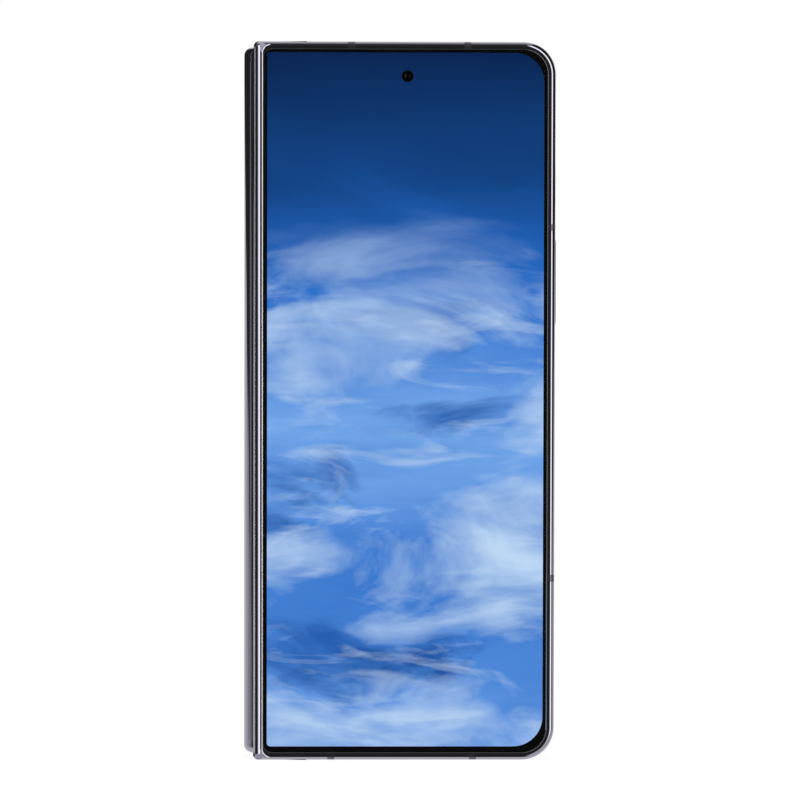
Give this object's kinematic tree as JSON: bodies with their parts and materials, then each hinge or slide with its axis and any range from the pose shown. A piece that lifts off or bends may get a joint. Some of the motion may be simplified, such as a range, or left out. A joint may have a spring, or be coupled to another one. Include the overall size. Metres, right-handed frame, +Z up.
{
  "type": "foldable smartphone",
  "caption": "Book-style folding phone with a cover screen, an inner folding screen, a geared hinge spine, keys and a card tray.",
  "frame": {"origin": "middle of the bottom edge, on the plane between the two folded halves", "axes": "+X from the hinge spine to the free edge, +Y out of the camera side (the cover screen faces -Y), +Z up the long edge"},
  "size_m": [0.0678, 0.0148, 0.1549],
  "materials": {
    "polished_frame": "dark mirror-polished metal",
    "polished_spine": "dark mirror-polished metal",
    "back_glass": "satin black glass",
    "cover_glass": "clear polished glass",
    "cover_screen": "lit display",
    "inner_screen": "glossy flexible display",
    "bezel_plastic": "soft black plastic",
    "grey_plastic": "satin grey plastic",
    "black_plastic": "black moulded plastic",
    "island_metal": "bead-blasted dark metal",
    "dark_metal": "turned dark metal",
    "lens_glass": "coated lens glass",
    "flash_glass": "moulded lens over a lamp",
    "battery_foil": "foil pouch",
    "circuit_board": "solder mask",
    "shield_steel": "stamped sheet steel",
    "mesh_fabric": "fine dust mesh",
    "copper": "wound copper",
    "spring_steel": "thin spring steel",
    "hinge_steel": "sintered steel",
    "screw_steel": "bright steel",
    "magnet_nickel": "nickel plate",
    "key_metal": "anodised aluminium",
    "flex_film": "polyimide film"
  },
  "bodies": {
    "rear_half": {"rear_frame": "polished_frame", "rear_glass": "back_glass", "rear_antenna_breaks": "grey_plastic", "camera_island": "island_metal", "lens_rings": "dark_metal", "lens_glasses": "lens_glass", "camera_modules": "black_plastic", "flash_window": "flash_glass", "rear_battery": "battery_foil", "main_board": "circuit_board", "chip_shields": "shield_steel", "charge_board": "circuit_board", "usb_shell": "shield_steel", "usb_tongue": "black_plastic", "loudspeaker": "black_plastic", "top_speaker": "black_plastic", "speaker_meshes": "mesh_fabric", "vibration_motor": "shield_steel", "charging_coil": "copper", "inner_camera": "black_plastic", "rear_bezel": "bezel_plastic", "rear_display": "inner_screen", "rear_support_plate": "spring_steel", "rear_gear_arms": "hinge_steel", "rear_rotators": "hinge_steel", "rear_screws": "screw_steel", "rear_magnets": "magnet_nickel", "key_switches": "copper"},
    "spine": {"hinge_spine": "polished_spine", "spine_end_caps": "polished_spine", "hinge_pins": "screw_steel", "spring_washers": "spring_steel", "hinge_brackets": "hinge_steel", "bracket_screws": "screw_steel", "display_fold": "inner_screen", "fold_lattice": "spring_steel", "hinge_flex": "flex_film"},
    "front_half": {"front_frame": "polished_frame", "front_antenna_breaks": "grey_plastic", "cover_glass": "cover_glass", "cover_display": "cover_screen", "cover_camera": "lens_glass", "earpiece": "black_plastic", "front_battery": "battery_foil", "front_board": "circuit_board", "front_shields": "shield_steel", "front_bezel": "bezel_plastic", "front_display": "inner_screen", "front_support_plate": "spring_steel", "front_gear_arms": "hinge_steel", "front_rotators": "hinge_steel", "front_screws": "screw_steel", "front_magnets": "magnet_nickel", "sim_reader": "shield_steel"},
    "volume_key": {"volume_rocker": "key_metal"},
    "power_key": {"side_key": "key_metal"},
    "tray": {"sim_tray": "key_metal"}
  },
  "joints": [
    {"name": "rear_hinge", "type": "hinge", "parent": "rear_half", "child": "spine", "pos_m": [-0.02975, 0.0018, 0], "axis": [0, 0, -1], "range_deg": [0, 90], "deforming": ["display_fold", "fold_lattice", "hinge_flex"]},
    {"name": "front_hinge", "type": "hinge", "parent": "spine", "child": "front_half", "pos_m": [-0.02975, -0.0018, 0], "axis": [0, 0, -1], "range_deg": [0, 90], "deforming": ["display_fold", "fold_lattice", "hinge_flex"]},
    {"name": "volume_rock", "type": "hinge", "parent": "rear_half", "child": "volume_key", "pos_m": [0.03165, 0.00365, 0.1032], "axis": [0, 1, 0], "range_deg": [-1.5, 1.5], "stiffness_Nm_per_rad": 0.5},
    {"name": "side_key_press", "type": "slide", "parent": "rear_half", "child": "power_key", "axis": [-1, 0, 0], "range_m": [0, 0.0003], "stiffness_N_per_m": 3000},
    {"name": "tray_slide", "type": "slide", "parent": "front_half", "child": "tray", "axis": [1, 0, 0], "range_m": [0, 0.015]}
  ],
  "couplings": [
    {"joint": "rear_hinge", "follows": "front_hinge", "ratio": 1}
  ]
}
